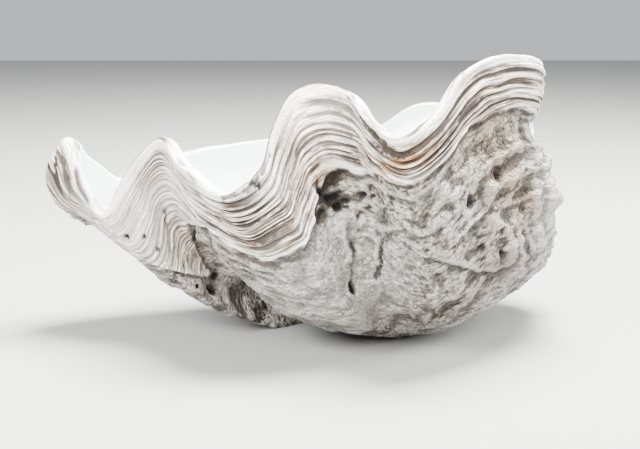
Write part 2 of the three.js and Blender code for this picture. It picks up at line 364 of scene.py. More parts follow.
# Thin raised edges on the worn surface, given as the cracks are: half width, height, how white.
ridges = [
    ([("foldTwoLeft", 0.20, 0.223), ("foldTwoLeft", 0.20, 0.198), ("foldTwoLeft", 0.29, 0.180),
      ("foldTwoLeft", 0.44, 0.166), ("foldTwoLeft", 0.71, 0.154), ("foldTwo", 0.19, 0.141),
      ("foldTwo", 0.70, 0.138), ("foldTwoFall", 0.40, 0.131), ("ribThreeFall", 0.21, 0.113)], 1.5, 2.2, 0.75),
    ([("foldTwo", 0.14, 0.267), ("foldTwo", 0.36, 0.243), ("foldTwo", 0.60, 0.216), ("foldTwo", 0.80, 0.191),
      ("foldTwoFall", 0.15, 0.175), ("foldTwoFall", 0.64, 0.157), ("ribThreeFall", 0.22, 0.141),
      ("ribThreeFall", 0.78, 0.131)], 1.5, 1.8, 0.55),
    ([("foldTwoLeft", 0.75, 0.129), ("foldTwo", 0.10, 0.122), ("foldTwo", 0.80, 0.116)], 1.6, 1.6, 0.45),
    ([("foldThreeRise", 0.02, 0.156), ("foldThreeRise", 0.55, 0.157), ("foldThree", 0.10, 0.155),
      ("foldThree", 0.56, 0.145)], 3.6, 3.0, 0.55),
    ([("ribThreeRise", 0.94, 0.204), ("foldThreeRise", 0.29, 0.230), ("foldThreeRise", 0.52, 0.272),
      ("foldThreeRise", 0.29, 0.310)], 3.0, 2.6, 0.50),
    ([("foldThreeRise", 0.72, 0.262), ("foldThreeRise", 0.92, 0.333)], 2.2, 2.4, 0.50),
    ([("foldThree", 0.02, 0.262), ("foldThree", 0.24, 0.329)], 2.0, 2.0, 0.50),
    ([("foldThree", 0.40, 0.192), ("foldThree", 0.30, 0.262), ("foldThree", 0.45, 0.320)], 5.0, 3.0, 0.6),
]

# Where the worn surface keeps its older growth lines: landmark, share, t, reach round, reach in t, strength.
oldLinesKept = [
    ("foldTwo", 0.2, 0.20, 0.050, 0.09, 0.5), ("foldThreeRise", 0.7, 0.16, 0.045, 0.10, 1.1),
    ("rightSide", 0.3, 0.16, 0.060, 0.16, 0.7), ("ribTwoFall", 0.5, 0.16, 0.060, 0.06, 0.7),
    ("foldOneLeft", 0.5, 0.30, 0.050, 0.10, 0.8), ("leftSill", 0.5, 0.25, 0.060, 0.20, 0.7),
    ("backLeft", 0.0, 0.25, 0.300, 0.30, 0.8), ("ribThreeRise", 0.6, 0.10, 0.060, 0.035, 1.0),
]
# Broad steps left by older edges: landmark, share, t, reach round, reach in t, spacing in t, height in mm.
terraces = [
    ("hornTip", 0.7, 0.22, 0.050, 0.20, 0.088, 7.0), ("foldThreeRise", 0.9, 0.15, 0.035, 0.10, 0.047, 2.6),
    ("foldOneLeft", 0.4, 0.40, 0.040, 0.14, 0.040, 0.6),
    ("leftSill", 0.3, 0.34, 0.050, 0.20, 0.050, 2.0), ("backLeft", 0.0, 0.30, 0.250, 0.25, 0.060, 2.6),
]

# Stains: landmark, share, t, half width, half height in mm, strength.
stains = [
    ("ribThree", 0.10, 0.027, 17.0, 3.6, 0.9), ("ribThreeFall", 0.60, 0.040, 12.0, 3.0, 0.7),
    ("ribThree", 0.75, 0.022, 16.0, 3.0, 0.45), ("foldTwoLeft", 0.30, 0.098, 8.0, 6.0, 0.4),
]

# Broad patches of brown dust and painted shade (under the horn, in grooves and on faces turned from the
# light), given the same way.
tanPatches = [
    ("foldThreeRise", 0.60, 0.120, 34.0, 45.0, 0.9), ("foldThree", 0.05, 0.210, 16.0, 22.0, 0.85),
    ("hornTip", 0.20, 0.095, 14.0, 11.0, 1.00), ("foldOneLeft", 0.40, 0.240, 12.0, 28.0, 0.60),
    ("leftTip", 0.60, 0.080, 12.0, 26.0, 0.50), ("ribOne", 0.90, 0.360, 50.0, 34.0, 0.25),
    ("ribThreeRise", 0.40, 0.350, 40.0, 20.0, 0.65),
    ("foldTwo", 0.20, 0.045, 16.0, 10.0, 0.35), ("foldOneLeft", 0.20, 0.060, 12.0, 12.0, 0.45),
    ("ribThree", 0.20, 0.035, 45.0, 12.0, 0.45), ("foldTwoRise", 0.90, 0.085, 12.0, 18.0, 0.40),
    ("foldTwoRise", 0.30, 0.050, 12.0, 34.0, 0.50), ("ribTwo", 0.30, 0.095, 60.0, 14.0, 0.35),
    ("foldThreeRise", 0.90, 0.040, 40.0, 14.0, 0.45), ("hornTip", 0.00, 0.040, 20.0, 16.0, 0.40),
    ("ribTwoFall", 0.50, 0.330, 40.0, 30.0, 0.15), ("foldThreeRise", 0.40, 0.045, 24.0, 10.0, 0.40),
]

# And the places that stay white, partly painted light on faces turned to the light.
paleAndLitPatches = [
    ("ribOne", 0.60, 0.055, 44.0, 36.0, 1.0), ("leftSill", 0.50, 0.080, 22.0, 24.0, 0.40),
    ("foldThree", 0.95, 0.230, 20.0, 34.0, 1.0), ("hornTip", 0.50, 0.240, 30.0, 40.0, 1.0),
    ("foldOneLeft", 0.40, 0.360, 30.0, 26.0, 0.45), ("ribTwo", 0.20, 0.280, 56.0, 46.0, 0.85),
    ("foldTwoLeft", 0.50, 0.035, 26.0, 18.0, 0.42), ("foldTwo", 0.30, 0.270, 26.0, 28.0, 0.60),
    ("ribTwoRise", 0.50, 0.040, 20.0, 14.0, 0.35), ("ribThree", 0.50, 0.480, 60.0, 30.0, 0.35),
]

# How far down from the edge the smooth rolled lip reaches (t).
lipReach = {
    "leftTip": 0.012, "leftLip": 0.010, "leftSill": 0.008, "ribOne": 0.010, "foldOneRise": 0.026,
    "foldOneLeft": 0.024, "foldOne": 0.018, "ribTwoFall": 0.012, "ribTwo": 0.006, "ribTwoRise": 0.007,
    "foldTwoRise": 0.014, "foldTwoLeft": 0.020, "foldTwo": 0.011, "foldTwoFall": 0.009,
    "ribThreeFall": 0.004, "ribThree": 0.005, "foldThreeRise": 0.004, "foldThree": 0.006,
    "hornTip": 0.003, "backLeft": 0.012,
}


def readRound(table, u, column=0):
    at = np.array([stations[name] for name in table])
    v = np.array([np.atleast_1d(row)[column] for row in table.values()], float)
    return np.interp(np.mod(u, 1.0), np.concatenate([at - 1, at, at + 1]), np.tile(v, 3))


def readShares(rows, u, column):
    at = [between(row[0], row[1]) for row in rows]
    return np.interp(u, at, [row[column] for row in rows])


def growthPlace(u, t, roundScale, alongScale):
    a = 2 * math.pi * u
    return np.stack([np.cos(a) * roundScale, np.sin(a) * roundScale, t * alongScale], -1)


def placeLines():
    draw = np.random.default_rng(valveForm["lineSeed"])
    gaps = draw.uniform(*valveForm["lineGaps"], valveForm["lamellae"])
    return np.concatenate([[0.0], np.cumsum(gaps)]) / gaps.sum()


lineStops = placeLines()


def lamellaRelief(u, t):
    rise = valveForm["riseShare"]
    phase = np.interp(t, lineStops, np.arange(len(lineStops)))
    index = np.floor(phase + 1e-6)
    part = phase - index
    strength = 0.70 + 0.60 * smoothNoise(growthPlace(u, index, 6.0, 7.31), 11)
    tooth = np.where(part < rise, (part / rise) ** 1.4, (1 - part) / (1 - rise))
    return tooth, np.clip(strength, 0.3, 1.3)


# Over the blunt left end the lines run side by side with the edge, so there depth is measured from the edge.
def slabShare(u, t):
    across = bell((u - between(*leftSlab["centre"])) / leftSlab["halfWidth"]) ** 0.7
    return across * (1 - ease((t - leftSlab["reach"]) / leftSlab["fade"]))


def depthFromEdge(u, t, p, slab):
    edge = [rim[name] for name in ("leftRise", "leftTip", "leftLip", "leftSill", "ribOne")]
    return mix(t, distanceTo(p, np.array(edge, float)) / leftSlab["wholeDepth"], slab)


def distanceTo(p, ends):
    best = np.full(p.shape[:-1], np.inf)
    for a, b in zip(ends[:-1], ends[1:]):
        k = np.clip(((p - a) @ (b - a)) / ((b - a) @ (b - a)), 0, 1)
        best = np.minimum(best, np.linalg.norm(p - a - k[..., None] * (b - a), axis=-1))
    return best


def pointAt(name, share, t):
    return outerPoint(np.array([between(name, share)]), np.array([t]))[0]


# Round marks: how deep each place is dug, and how near it is to the middle of a mark.
def dug(p, rows):
    deep, dark = np.zeros(p.shape[:-1]), np.zeros(p.shape[:-1])
    for name, share, t, wide, tall, depth in rows:
        centre = pointAt(name, share, t)
        along = unit(pointAt(name, share, t + 0.01) - centre)
        gap = p - centre
        down = gap @ along
        side = np.sqrt(np.maximum((gap * gap).sum(-1) - down * down, 0))
        near = np.exp(-((side / wide) ** 2 + (down / tall) ** 2) ** 1.4)
        deep = np.maximum(deep, near * depth)
        dark = np.maximum(dark, near)
    return deep, dark


# Marks along a run of places: how far each stands in or out, and how strongly it is coloured.
def traced(p, rows, presence):
    far, coloured = np.zeros(p.shape[:-1]), np.zeros(p.shape[:-1])
    for run, wide, reach, strength in rows:
        near = bell(distanceTo(p, [pointAt(*place) for place in run]) / wide) * presence
        far, coloured = np.maximum(far, near * reach), np.maximum(coloured, near * strength)
    return far, coloured


def stepBelow(t, reach, depth, width, fade):
    return depth * ease((t - reach) / width) * np.exp(-np.maximum(t - reach, 0) / fade)


def sawTooth(x, rise):
    part = np.mod(x, 1.0)
    return np.where(part < rise, part / rise, (1 - part) / (1 - rise))


def within(u, t, name, share, at, wide, tall):
    away = (u - between(name, share) + 0.5) % 1.0 - 0.5
    return bell(away / wide) * bell((t - at) / tall)


# Where the fresh layer, the older one and the ledge end (t), and their depths: the ledge's is a share.
def readEdges(u, ragged):
    return {
        "fresh": (readRound(freshReach, u) + ragged, readRound(freshReach, u, 1)),
        "older": (readShares(olderReach, u, 2) + ragged, readShares(olderReach, u, 3)),
        "ledge": (readShares(ledgeReach, u, 2) + 1.6 * ragged, readShares(ledgeReach, u, 3)),
    }


def stepsDown(t, edges):
    depths = {"fresh": 1, "older": 1, "ledge": valveRelief["ledgeDepth"]}
    return sum(stepBelow(t, reach, depth * depths[name], *valveRelief["steps"][name])
               for name, (reach, depth) in edges.items())


def freshHeight(u, t, tooth, strength, chips, opened):
    r = valveRelief
    fine = smoothNoise(growthPlace(u, t, 5.0, 210.0), 21)
    # a groove between ribs one and two, where the lamellae are cut deeper
    apart = bell((u - between("foldOneLeft", 0.6)) / 0.028) * ease((t - 0.16) / 0.03)
    plates = strength * (1 + 1.3 * apart) * (0.12 + 0.88 * opened)
    lamella = r["lamellaHeight"] * plates * (tooth - 0.6)
    return lamella + r["fineHeight"] * fine + r["chipHeight"] * chips * tooth - r["freshDrop"]


def wornHeight(u, t, grain, lump):
    r = valveRelief
    kept = np.zeros(u.shape)
    for *where, power in oldLinesKept:
        kept = np.maximum(kept, power * within(u, t, *where))
    sharp = 1 - 2.2 * np.abs(smoothNoise(growthPlace(u, t + 0.002 * grain, 5.0, 46.0), 61))
    height = r["oldLineHeight"] * sharp * (0.35 + kept) + r["grainHeight"] * grain * (1 - 0.5 * kept)
    height = height + r["lumpHeight"] * (lump - 0.8)
    shifted = t * r["flakesDown"] + 1.3 * smoothNoise(growthPlace(u, t, 15.0, 12.0), 121)
    flakes = (sawTooth(shifted, 0.75) - 0.5) * (1 + smoothNoise(growthPlace(u, t, 11.0, 20.0), 125))
    height = height + r["flakeHeight"] * flakes
    bent = t + 0.010 * smoothNoise(growthPlace(u, t, 5.0, 3.0), 81)
    for *where, period, high in terraces:
        height = height + high * (sawTooth(bent / period, 0.78) - 0.6) * within(u, t, *where)
    return height


# Rubbed white along the edges of the layers, the smooth lip and the ridges; on the layer edges the white is
# partly a painted highlight.
def rubbedAndLitRims(t, edges, opened, whitened, plainEdge):
    (fresh, _), (older, olderDepth), (ledge, ledgeShare) = edges.values()
    return np.maximum.reduce([
        bell((t - fresh + 0.001) / 0.004) * 0.5 * (1 - 0.9 * plainEdge),
        bell((t - older + 0.001) / 0.0035) * np.clip(olderDepth, 0, 1),
        bell((t - ledge + 0.002) / 0.005) * ledgeShare,
        0.9 * (1 - opened),
        whitened,
    ])


# Painted shadow: just below the edge of the fresh layer and below the ledge.
def shadowBelow(t, edges, slab, plainEdge):
    (fresh, _), _, (ledge, ledgeShare) = edges.values()
    belowFresh = bell((t - fresh - 0.007) / 0.0045) * (0.26 + 0.14 * plainEdge) * (1 - slab)
    return np.maximum(belowFresh, bell((t - ledge - 0.009) / 0.006) * 0.30 * ledgeShare)


def outerRelief(u, t, p):
    tooth, strength = lamellaRelief(u, t)
    slab = slabShare(u, t)
    tooth, strength = mix(tooth, 0.7, slab), strength * mix(1, leftSlab["lineShare"], slab)
    t = depthFromEdge(u, t, p, slab)
    chips = smoothNoise(growthPlace(u, t, 55.0, 120.0), 25)
    ragged = 0.005 * smoothNoise(growthPlace(u, t, 16.0, 8.0), 31)
    grain, lump = roughNoise(p / 4.5, 41, 2), roughNoise(p / 17.0, 51, 2)
    opened = ease((t - readRound(lipReach, u) - 0.3 * ragged + 0.006) / 0.010)
    edges = readEdges(u, ragged)
    worn = ease((t - edges["fresh"][0]) / 0.005)
    shifts = [roughNoise(p / 3.5, seed, 2) for seed in (91, 94, 97)]
    torn = p + valveRelief["tearing"] * np.stack(shifts, -1)
    hollowDeep, hollowDark = dug(torn, hollows)
    holeDeep, holeDark = dug(torn, holes)
    crackDeep, crackDark = traced(torn, cracks, np.clip(0.9 + 0.7 * lump, 0.2, 1))
    raised, whitened = traced(torn, ridges, np.clip(0.95 + 0.5 * lump, 0.3, 1))
    height = mix(freshHeight(u, t, tooth, strength, chips, opened), wornHeight(u, t, grain, lump), worn)
    height = height + raised - stepsDown(t, edges) - hollowDeep - holeDeep - crackDeep
    plainEdge = bell((u - stations["foldThree"]) / 0.07)   # there its rim gets less painted highlight and its painted shadow is darker
    rims = rubbedAndLitRims(t, edges, opened, whitened, plainEdge)
    below = shadowBelow(t, edges, slab, plainEdge) * np.clip(1 + 0.8 * chips, 0.2, 1)
    # The dark of the holes, cracks and deep hollow is painted shade inside them, and the band below the layer
    # edges is a painted shadow.
    return {
        "height": height + valveRelief["rimHeight"] * rims, "t": t, "worn": worn, "lines": tooth,
        "pitAndShadow": np.clip(0.42 * hollowDark * worn + holeDark + crackDark + below, 0, 1),
        "lipAndHighlight": rims, "stain": dug(p, stains)[0], "tan": dug(p, tanPatches)[0], "paleAndLit": dug(p, paleAndLitPatches)[0],
    }


# How far each place stands above the ones round it: the low ones get dust and painted shade, the high ones
# are rubbed white with a painted highlight.
def raisedBy(height):
    around = height
    for axis, reach in enumerate(valveRelief["raisedReach"]):
        stack = [np.roll(around, k, axis) for k in range(-reach, reach + 1)]
        around = sum(stack) / len(stack)
    return np.clip((height - around) / valveRelief["raisedHeight"], -1, 1)


def columnStops():
    form = valveForm
    front = (stations["leftRise"], stations["rightSide"])
    a = np.linspace(front[0], front[1], form["frontColumns"], endpoint=False)
    b = np.linspace(front[1], front[0] + 1.0, form["backColumns"], endpoint=False)
    return np.mod(np.concatenate([a, b]), 1.0)


# Rows follow the lamellae near the edge, then run evenly. The number is of the first with half the columns.
def rowStops():
    form = valveForm
    rise = form["riseShare"]
    rows = []
    for k in range(form["openLines"]):
        parts = (0, 0.3, 0.6, rise, 0.99) if k < form["crispLines"] else (0, 0.45, rise, 0.99)
        rows += [mix(lineStops[k], lineStops[k + 1], part) for part in parts]
    t = lineStops[form["openLines"]]
    counts = []
    for end, step in (form["fineRows"], form["wideRows"]):
        counts.append(len(rows))
        while t < end:
            rows.append(t)
            t += step
    return np.array(rows), counts[-1]


def wobble(u, t):
    return 0.0035 * ease(t / 0.03) * smoothNoise(growthPlace(u, t, 9.0, 12.0), 71)


# Nearest distance from the outer face to the inner one, found on a coarse net and read between its points.
def wallBehind(u, t):
    across, down = 128, 40
    gridU, gridT = np.meshgrid(np.arange(across) / across, np.linspace(0, 1, down))
    outer = outerPoint(gridU, gridT).reshape(-1, 3)
    innerU, innerT = np.meshgrid(np.arange(2 * across) / (2 * across), np.linspace(0, 1, 60))
    inner = innerPoint(innerU, innerT).reshape(-1, 3)
    innerSquares = (inner * inner).sum(-1)
    gaps = [np.sqrt(np.maximum((innerSquares - 2 * part @ inner.T).min(-1) + (part * part).sum(-1), 0))
            for part in np.array_split(outer, 16)]
    net = np.concatenate(gaps).reshape(gridU.shape)
    x, y = np.mod(u, 1.0) * across, np.clip(t, 0, 1) * (down - 1)
    i, j = np.floor(x).astype(int), np.minimum(np.floor(y).astype(int), down - 2)
    fx, fy = x - i, y - j
    left, right = i % across, (i + 1) % across
    return mix(mix(net[j, left], net[j, right], fx), mix(net[j + 1, left], net[j + 1, right], fx), fy)


fieldNames = ("t", "worn", "lines", "pitAndShadow", "stain", "raised", "lipAndHighlight", "tan", "paleAndLit", "inside")


def outerRows(u, rows):
    uu, tt = np.meshgrid(u, rows)
    bent = tt + wobble(uu, tt)
    p = outerPoint(uu, bent)
    e = 0.0015
    along = outerPoint(uu + e, bent) - outerPoint(uu - e, bent)
    down = outerPoint(uu, bent + e) - outerPoint(uu, bent - e)
    outward = -unit(np.cross(along, down))
    fields = outerRelief(uu, tt, p)
    height = fields.pop("height")
    deepest = np.maximum(wallBehind(uu, tt) - valveForm["leastWall"], 0.8)
    height = np.where(height < 0, -deepest * np.tanh(-height / deepest), height)
    p = p + outward * (height * ease((1 - tt) / 0.1))[..., None]
    # columns are farther apart round the back, so there a mean over the same number of them reaches too far
    pastLeft = ease((uu - stations["leftRise"] + 0.03) / 0.04)
    byFront = pastLeft * ease((stations["rightSide"] + 0.03 - uu) / 0.04)
    fields["raised"] = raisedBy(height) * (0.4 + 0.6 * byFront)
    fields["inside"] = np.zeros(uu.shape)
    return p, fields


def edgeRows(outerEdge, below, innerEdge):
    half = (outerEdge - innerEdge) / 2
    centre = (outerEdge + innerEdge) / 2
    crest = unit(outerEdge - below)
    size = np.linalg.norm(half, axis=-1, keepdims=True) * valveForm["edgeRoundness"]
    size = size * (1 + 0.22 * roughNoise(centre / 7.0, 111, 2))[:, None]
    count = valveForm["rolledRows"]
    turns = [math.pi * k / (count + 1) for k in range(1, count + 1)]
    return [centre + half * math.cos(a) + crest * size * math.sin(a) for a in turns]


def insideMarks(p, t):
    form = insideForm
    away = (p - np.array(form["scarCentre"])) / np.array(form["scarSize"])
    scar = ease((1.15 - np.linalg.norm(away, axis=-1) + 0.08 * smoothNoise(p / 9.0, 101)) / 0.16)
    held = bell((t - form["mantleDepth"] + 0.012 * smoothNoise(p / 22.0, 103)) / form["mantleWidth"])
    return np.clip(form["scarStrength"] * scar + form["mantleStrength"] * held, 0, 1)


def plainFields(count, **given):
    return {name: given.get(name, 0.0) * np.ones(count) for name in fieldNames}


# Loops of points from the beak over the outside, round the edge and down the inside: points, u, fields.
def valveLoops():
    u = columnStops()
    rows, halved = rowStops()
    outer, fields = outerRows(u, rows)
    loops = [(beak[None, :], np.zeros(1), plainFields(1, t=1, worn=1))]
    for k in reversed(range(len(rows))):
        pick = slice(None, None, 2 if k >= halved else 1)
        loops.append((outer[k][pick], u[pick], {name: fields[name][k][pick] for name in fieldNames}))

    innerEdge = innerPoint(u, np.zeros(u.shape))
    rolled = edgeRows(outer[0], outerPoint(u, np.full(u.shape, 0.02)), innerEdge)
    for k, ring in enumerate(rolled, 1):
        loops.append((ring, u, plainFields(len(u), t=-0.001 * k, lines=0.9, inside=k / (len(rolled) + 1))))

    few = u[::2]
    innerStops = np.concatenate([np.linspace(0.012, 0.2, 14), np.linspace(0.22, 0.9, 28), [0.93, 0.96, 0.98]])
    rings = [(innerEdge, u, 0.0)] + [(innerPoint(few, np.full(few.shape, t)), few, t) for t in innerStops]
    for ring, at, t in rings:
        loops.append((ring, at, plainFields(len(at), t=t, lines=0.9, tan=insideMarks(ring, t), inside=1)))
    pole = innerPoint(np.zeros(1), np.ones(1))
    loops.append((pole, np.zeros(1), plainFields(1, t=1, lines=1, inside=1)))
    return loops


def halvingFaces(a, b):
    n = len(b)
    faces = []
    for i in range(n):
        a0, a1, a2 = a[2 * i], a[2 * i + 1], a[(2 * i + 2) % len(a)]
        b0, b1 = b[i], b[(i + 1) % n]
        faces += [(a0, b0, a1), (a1, b0, b1), (a1, b1, a2)]
    return faces


def facesBetween(a, b):
    if len(a) == 1:
        return [(a[0], b[i], b[(i + 1) % len(b)]) for i in range(len(b))]
    if len(b) == 1:
        return [(b[0], a[(i + 1) % len(a)], a[i]) for i in range(len(a))]
    if len(a) > len(b):
        return halvingFaces(a, b)
    if len(a) < len(b):
        return [face[::-1] for face in halvingFaces(b, a)]
    n = len(a)
    return [(a[i], b[i], b[(i + 1) % n], a[(i + 1) % n]) for i in range(n)]


def buildValveMesh():
    loops = valveLoops()
    ends = np.cumsum([len(loop[0]) for loop in loops])
    runs = [range(end - len(loop[0]), end) for end, loop in zip(ends.tolist(), loops)]
    faces = []
    for a, b in zip(runs[:-1], runs[1:]):
        faces += facesBetween(a, b)
    xyz = (np.concatenate([loop[0] for loop in loops]) + setDown) / 1000
    xyz = np.clip(xyz, boxLow, boxHigh)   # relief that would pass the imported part's box is pressed onto it
    u = np.concatenate([loop[1] for loop in loops])
    fields = {name: np.concatenate([loop[2][name] for loop in loops]) for name in fieldNames}
    return xyz, faces, u, fields


def makeValve():
    xyz, faces, u, fields = buildValveMesh()
    mesh = bpy.data.meshes.new("valveShell")
    mesh.from_pydata(xyz.tolist(), [], faces)
    mesh.update()
    growth = growthPlace(u, fields.pop("t"), 1.0, 1.0).astype(np.float32)
    mesh.attributes.new("growth", "FLOAT_VECTOR", "POINT").data.foreach_set("vector", growth.ravel())
    for name, values in fields.items():
        mesh.attributes.new(name, "FLOAT", "POINT").data.foreach_set("value", values.astype(np.float32))
    mesh.shade_smooth()
    valve = bpy.data.objects.new("valveShell", mesh)
    bpy.context.collection.objects.link(valve)
    triangles = sum(len(f.vertices) - 2 for f in mesh.polygons)
    print("valve:", len(mesh.vertices), "points,", triangles, "triangles")
    return valve


shellColours = {
    "crest": (0.90, 0.855, 0.785),
    "cream": (0.36, 0.29, 0.22),
    "bark": (0.145, 0.097, 0.064),
    "peatAndShade": (0.042, 0.031, 0.023),
    "groove": (0.030, 0.020, 0.014),
    "chalk": (0.60, 0.535, 0.455),
    "dust": (0.115, 0.093, 0.072),
    "soilAndShade": (0.030, 0.023, 0.017),
    "pitAndShadow": (0.006, 0.004, 0.003),
    "milk": (0.79, 0.85, 0.87),
    "porcelain": (0.90, 0.90, 0.885),
    "scar": (0.72, 0.66, 0.58),
    "ochre": (0.95, 0.58, 0.25),
    "tan": (0.52, 0.405, 0.30),
}

shellLook = {
    "growthNoise": {         # how fine round the shell, and from edge to beak; detail, roughness
        "fine": (5.0, 260.0, 3.0, 0.6), "band": (4.0, 70.0, 2.0, 0.5), "flakes": (22.0, 150.0, 3.0, 0.55),
        "threads": (3.0, 170.0, 2.0, 0.5), "strata": (8.0, 62.0, 4.0, 0.6),
    },
    "placeNoise": {          # size in mm; detail, roughness
        "blotch": (26.0, 4.0, 0.55), "grain": (2.4, 4.0, 0.62), "cluster": (9.0, 2.0, 0.5),
        "milk": (60.0, 3.0, 0.5),
    },
    "poreSize": 2.6,         # mm
    "freshTone": 0.11,       # how light the grooves of the fresh lamellae are
    "lineContrast": 0.36,    # and how much lighter their crests
    "freshMix": {"fine": 4.0, "band": 3.2, "blotch": 0.6},
    "freshRamp": ((0.0, "groove"), (0.22, "bark"), (0.42, "cream"), (0.66, "chalk"), (0.92, "crest")),
    "wornTone": 0.715,       # how light the worn surface is
    "wornMix": {"blotch": 0.7, "grain": 1.3, "flakes": 2.8, "band": 0.8},
    "wornRamp": ((0.0, "soilAndShade"), (0.26, "dust"), (0.50, "cream"), (0.72, "chalk"), (0.92, "crest")),
    "poreDark": 0.65,
    "seamDark": 0.6,
    "threadDark": 0.75,
    "rubbedWhiteAndHighlight": 0.55,
    "palenessAndLight": 0.62,
    "rimWhite": 0.8,
    "fineBump": 0.0016,      # metres
    "grainBump": 0.012,
    "roughness": 0.82,
    "insideRoughness": 0.42,
    "roughnessGrain": 0.25,
    "shine": 0.3,
}


class NodeTree:
    def __init__(self, name):
        self.material = bpy.data.materials.new(name)
        self.material.use_nodes = True
        self.tree = self.material.node_tree
        self.shader = self.tree.nodes["Principled BSDF"]

    def add(self, kind, **inputs):
        node = self.tree.nodes.new("ShaderNode" + kind)
        for name, value in inputs.items():
            self.feed(node.inputs[name], value)
        return node

    def feed(self, socket, value):
        if isinstance(value, bpy.types.NodeSocket):
            self.tree.links.new(value, socket)
        else:
            socket.default_value = value

    def read(self, name, vector=False):
        node = self.add("Attribute")
        node.attribute_name = name
        return node.outputs["Vector" if vector else "Fac"]

    def math(self, kind, a, b=0.0, c=0.0):
        node = self.add("Math")
        node.operation = kind
        for socket, value in zip(node.inputs, (a, b, c)):
            self.feed(socket, value)
        return node.outputs[0]

    def times(self, a, b):
        return self.math("MULTIPLY", a, b)

    def line(self, value, slope, start):   # value * slope + start
        return self.math("MULTIPLY_ADD", value, slope, start)

    def sway(self, base, noise, strength):   # the base value, moved up and down by a noise
        return self.line(self.math("SUBTRACT", noise, 0.5), strength, base)

    def seam(self, noise, outer, inner):   # thin lines where a noise crosses its middle
        return self.span(self.math("ABSOLUTE", self.math("SUBTRACT", noise, 0.5)), outer, inner)

    def stretch(self, vector, factors):
        node = self.add("VectorMath")
        node.operation = "MULTIPLY"
        self.feed(node.inputs[0], vector)
        self.feed(node.inputs[1], factors)
        return node.outputs[0]

    def noise(self, vector, scale, detail, roughness):
        return self.add("TexNoise", Vector=vector, Scale=scale, Detail=detail, Roughness=roughness).outputs[0]

    def ramp(self, value, stops):
        node = self.add("ValToRGB", Fac=value)
        elements = node.color_ramp.elements
        while len(elements) < len(stops):
            elements.new(0.5)
        for element, (place, name) in zip(elements, stops):
            element.position, element.color = place, (*shellColours[name], 1.0)
        return node.outputs[0]

    def span(self, value, low, high, start=0.0, end=1.0):
        node = self.add("MapRange")
        node.interpolation_type = "SMOOTHSTEP"
        for socket, number in zip(node.inputs, (value, low, high, start, end)):
            self.feed(socket, number)
        return node.outputs[0]

    def blend(self, share, a, b, kind="MIX"):
        node = self.add("MixRGB")
        node.blend_type = kind
        for socket, value in zip(node.inputs, (share, a, b)):
            self.feed(socket, value)
        return node.outputs[0]

    def paint(self, under, share, name, kind="MIX"):
        return self.blend(share, under, (*shellColours[name], 1.0), kind)


# What the material works from: the mesh's fields, and noises that follow the growth lines or the place.
def shellSources(n):
    look = shellLook
    s = {name: n.read(name) for name in fieldNames if name != "t"}
    growth = n.read("growth", vector=True)
    place = n.stretch(n.add("TexCoord").outputs["Object"], (1000.0, 1000.0, 1000.0))   # in mm
    for name, (roundScale, alongScale, detail, roughness) in look["growthNoise"].items():
        s[name] = n.noise(n.stretch(growth, (roundScale, roundScale, alongScale)), 1.0, detail, roughness)
    for name, (size, detail, roughness) in look["placeNoise"].items():
        s[name] = n.noise(place, 1.0 / size, detail, roughness)
    cells = n.add("TexVoronoi", Vector=place, Scale=1.0 / look["poreSize"], Randomness=1.0)
    s["cells"] = cells.outputs["Distance"]
    s["seams"] = n.times(n.seam(s["strata"], 0.022, 0.002), n.span(s["cluster"], 0.38, 0.56))
    s["threads"] = n.times(n.seam(s["threads"], 0.030, 0.004), n.line(s["worn"], -0.8, 1.0))
    return s


# Fresh lamellae: white crests over brown grooves.
def freshColour(n, s):
    look = shellLook
    tone = n.line(n.span(s["lines"], 0.0, 0.35), look["lineContrast"], look["freshTone"])
    for name, strength in look["freshMix"].items():
        tone = n.sway(tone, s[name], strength)
    return n.ramp(tone, look["freshRamp"])


# The worn surface: chalky, with dirt in its pores and seams.
def wornColour(n, s):
    look = shellLook
    tone = look["wornTone"]
    for name, strength in look["wornMix"].items():
        tone = n.sway(tone, s[name], strength)
    colour = n.ramp(tone, look["wornRamp"])
    specks = n.times(n.span(s["grain"], 0.40, 0.30), n.span(s["cluster"], 0.46, 0.60))
    pores = n.times(n.span(s["cells"], 0.34, 0.12), n.span(s["cluster"], 0.42, 0.58))
    colour = n.paint(colour, n.times(n.math("MAXIMUM", specks, pores), look["poreDark"]), "soilAndShade")
    return n.paint(colour, n.times(s["seams"], look["seamDark"]), "soilAndShade")


# Low places get dirt and painted shade, high ones and edges are rubbed white with a painted highlight, the
# pale patches whiten partly as painted light, and grooves are brown.
def weatheredAndShaded(n, s, colour):
    look = shellLook
    # painted shade with dust in the low places, rubbed white with a painted highlight on the high ones
    low = n.times(n.span(s["raised"], 0.03, -0.40), n.line(s["worn"], -0.20, 0.98))
    colour = n.paint(colour, low, "soilAndShade")
    colour = n.paint(colour, n.times(n.span(s["raised"], 0.10, 0.6), look["rubbedWhiteAndHighlight"]), "crest")
    grooves = n.times(n.span(s["band"], 0.40, 0.30), n.span(s["lines"], 0.55, 0.15))
    colour = n.paint(colour, n.times(grooves, n.line(s["worn"], -1.0, 0.9)), "peatAndShade")
    colour = n.paint(colour, n.times(s["threads"], look["threadDark"]), "peatAndShade")
    # painted light: the pale patches whiten towards the crest colour
    colour = n.blend(s["paleAndLit"], colour, n.paint(colour, look["palenessAndLight"], "crest"))
    # the rims' white, partly a painted highlight on the layer edges
    colour = n.paint(colour, n.times(s["lipAndHighlight"], look["rimWhite"]), "crest")
    # brown dust and painted shade, multiplied in
    dustyAndShaded = n.times(s["tan"], n.span(s["blotch"], 0.30, 0.55, 0.6, 1.0))
    colour = n.paint(colour, dustyAndShaded, "tan", "MULTIPLY")
    return n.paint(colour, s["stain"], "ochre", "MULTIPLY")


